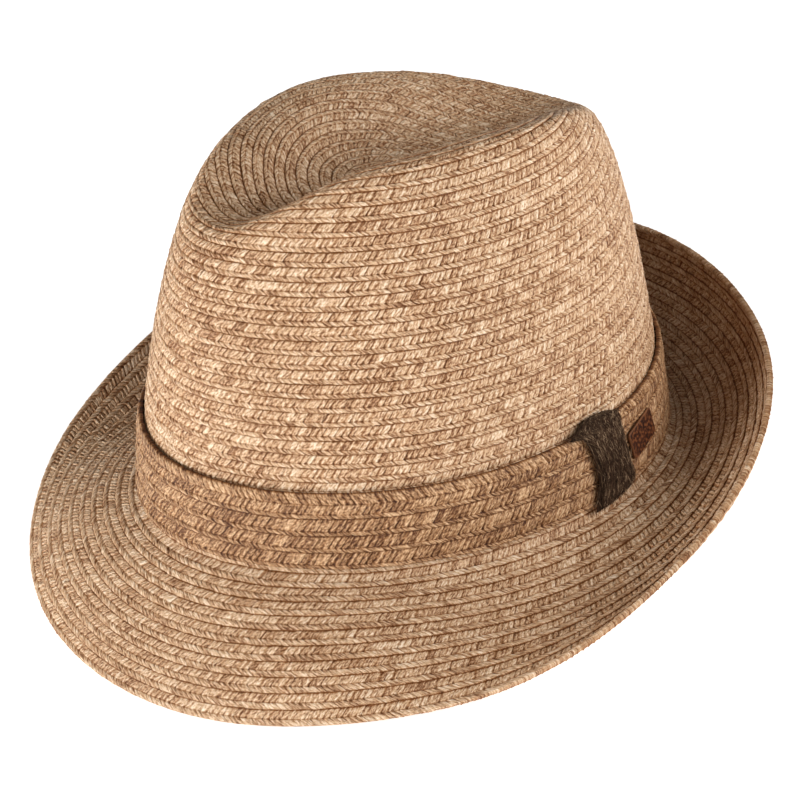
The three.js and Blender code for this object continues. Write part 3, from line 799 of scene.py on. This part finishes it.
# Waxed cowhide: a soft gloss over a fine pebbled grain, with darker creases, and a pale burnished edge.
# Its map is in mm: pebbles 2.2 to a mm, or 0.45 mm apart, and creases about 1.25 mm apart.
place = add_node(tree, "UVMap", {"uv_map": "strands"}, {})
grain = add_node(
    tree,
    "TexVoronoi",
    {"feature": "SMOOTH_F1", "voronoi_dimensions": "2D"},
    {"Vector": place.outputs["UV"], "Scale": 2.2, "Smoothness": 0.6},
)
cloud = add_node(
    tree,
    "TexNoise",
    {"noise_dimensions": "2D"},
    {"Vector": place.outputs["UV"], "Scale": 0.8, "Detail": 4.0},
)
tan = add_node(
    tree,
    "ValToRGB",
    {},
    {"Fac": cloud.outputs["Fac"]},
    ((0.38, "250E05"), (0.64, "754527"), (0.5, "411D0D")),
)
# How much of the pale cut edge shows, read from the attribute that the braid uses for its painted shade.
edge = add_node(tree, "Attribute", {"attribute_name": "depth"}, {})
sides = {0: edge.outputs["Fac"], 6: tan.outputs["Color"], 7: linear("8F6040")}
hide = add_node(tree, "Mix", {"data_type": "RGBA"}, sides)
pebble = add_node(tree, "Bump", {}, {"Height": grain.outputs[0], "Strength": 0.35, "Distance": 0.0002})
waxed = add_node(
    tree,
    "BsdfPrincipled",
    {},
    {
        "Base Color": hide.outputs[2],
        "Roughness": 0.5,
        "Specular IOR Level": 0.3,
        "Normal": pebble.outputs[0],
    },
)
tree.links.new(waxed.outputs[0], output.inputs["Surface"])

ring = {key: np.array(values)[:, None] for key, values in PATCH_RINGS.items()}
outline = squarish(PATCH_ROUND, PATCH_CORNER) * (PATCH_LENGTH / 2, PATCH_HEIGHT / 2)
cos, sin = math.cos(math.radians(PATCH_TILT)), math.sin(math.radians(PATCH_TILT))
flat = ring["size"][..., None] * (outline @ np.array([[cos, sin], [-sin, cos]]))
out = crest + ring["out"] * PATCH_THICKNESS
rings = over_band(PATCH_TURN, flat[..., 0], PATCH_RISE + flat[..., 1], out)
cut = ring["cut"] + np.zeros(flat.shape[:2])
make_piece("leather_patch", closed_skin(rings, flat, 0 * cut, cut), leather, "patch")

# The camera stands where the photograph was taken from, on the wearer's front left and above the hat, with
# the turn, place and long lens that the outlines of crown, band and brim gave.
CAMERA_PLACE = (0.53532, -0.40634, 0.48384)  # metres
CAMERA_TURNS = (55.515, 9.362, 46.173)  # degrees about x, y and z
camera = bpy.data.cameras.new("camera")
camera.sensor_width = 36.0
camera.lens = 102.94
camera.clip_end = 200.0
view = bpy.data.objects.new("camera", camera)
bpy.context.collection.objects.link(view)
view.location = CAMERA_PLACE
view.rotation_euler = [math.radians(turn) for turn in CAMERA_TURNS]
bpy.context.scene.camera = view

# The studio: a white paper floor that glows a little and goes on to far behind the hat, with soft lights
# low in front and behind on the wearer's left, and a weak one between them on the camera's side.
FLOOR = 80.0  # metres from its middle to its edges
GLOW = 0.68
DAYLIGHT = 0.10  # of the world
floor_mesh = bpy.data.meshes.new("floor")
floor_corners = [(-FLOOR, -FLOOR, 0), (FLOOR, -FLOOR, 0), (FLOOR, FLOOR, 0), (-FLOOR, FLOOR, 0)]
floor_mesh.from_pydata(floor_corners, [], [(0, 1, 2, 3)])
floor = bpy.data.objects.new("floor", floor_mesh)
bpy.context.collection.objects.link(floor)
paper, tree, output = new_material("white_paper")
# White paper: matt, with an even glow that keeps it white and the hat's shadow weak.
sheet = add_node(
    tree,
    "BsdfPrincipled",
    {},
    {
        "Base Color": linear("F4F3F1"),
        "Roughness": 0.9,
        "Emission Color": linear("FFFFFF"),
        "Emission Strength": GLOW,
    },
)
tree.links.new(sheet.outputs[0], output.inputs["Surface"])
floor_mesh.materials.append(paper)


def soft_light(name, place, power, size=0.9, target=(0, 0, 0.07)):
    """A square area light, turned so that its own -Z points from its place at the middle of the hat."""
    lamp = bpy.data.lights.new(name, "AREA")
    lamp.size = size
    lamp.energy = power
    light = bpy.data.objects.new(name, lamp)
    bpy.context.collection.objects.link(light)
    light.location = place
    light.rotation_euler = (Vector(target) - Vector(place)).to_track_quat("-Z", "Y").to_euler()


soft_light("key", (-0.32, -1.5, 0.48), 27.5)
soft_light("fill", (1.33, 0.7, 0.72), 23.0)
soft_light("front", (1.1, -0.6, 0.9), 1.8)
bpy.context.scene.view_settings.view_transform = "Standard"
world = bpy.data.worlds.new("studio")
world.use_nodes = True
bpy.context.scene.world = world
sky = world.node_tree.nodes["Background"]
sky.inputs["Color"].default_value = linear("FFFFFF")
sky.inputs["Strength"].default_value = DAYLIGHT
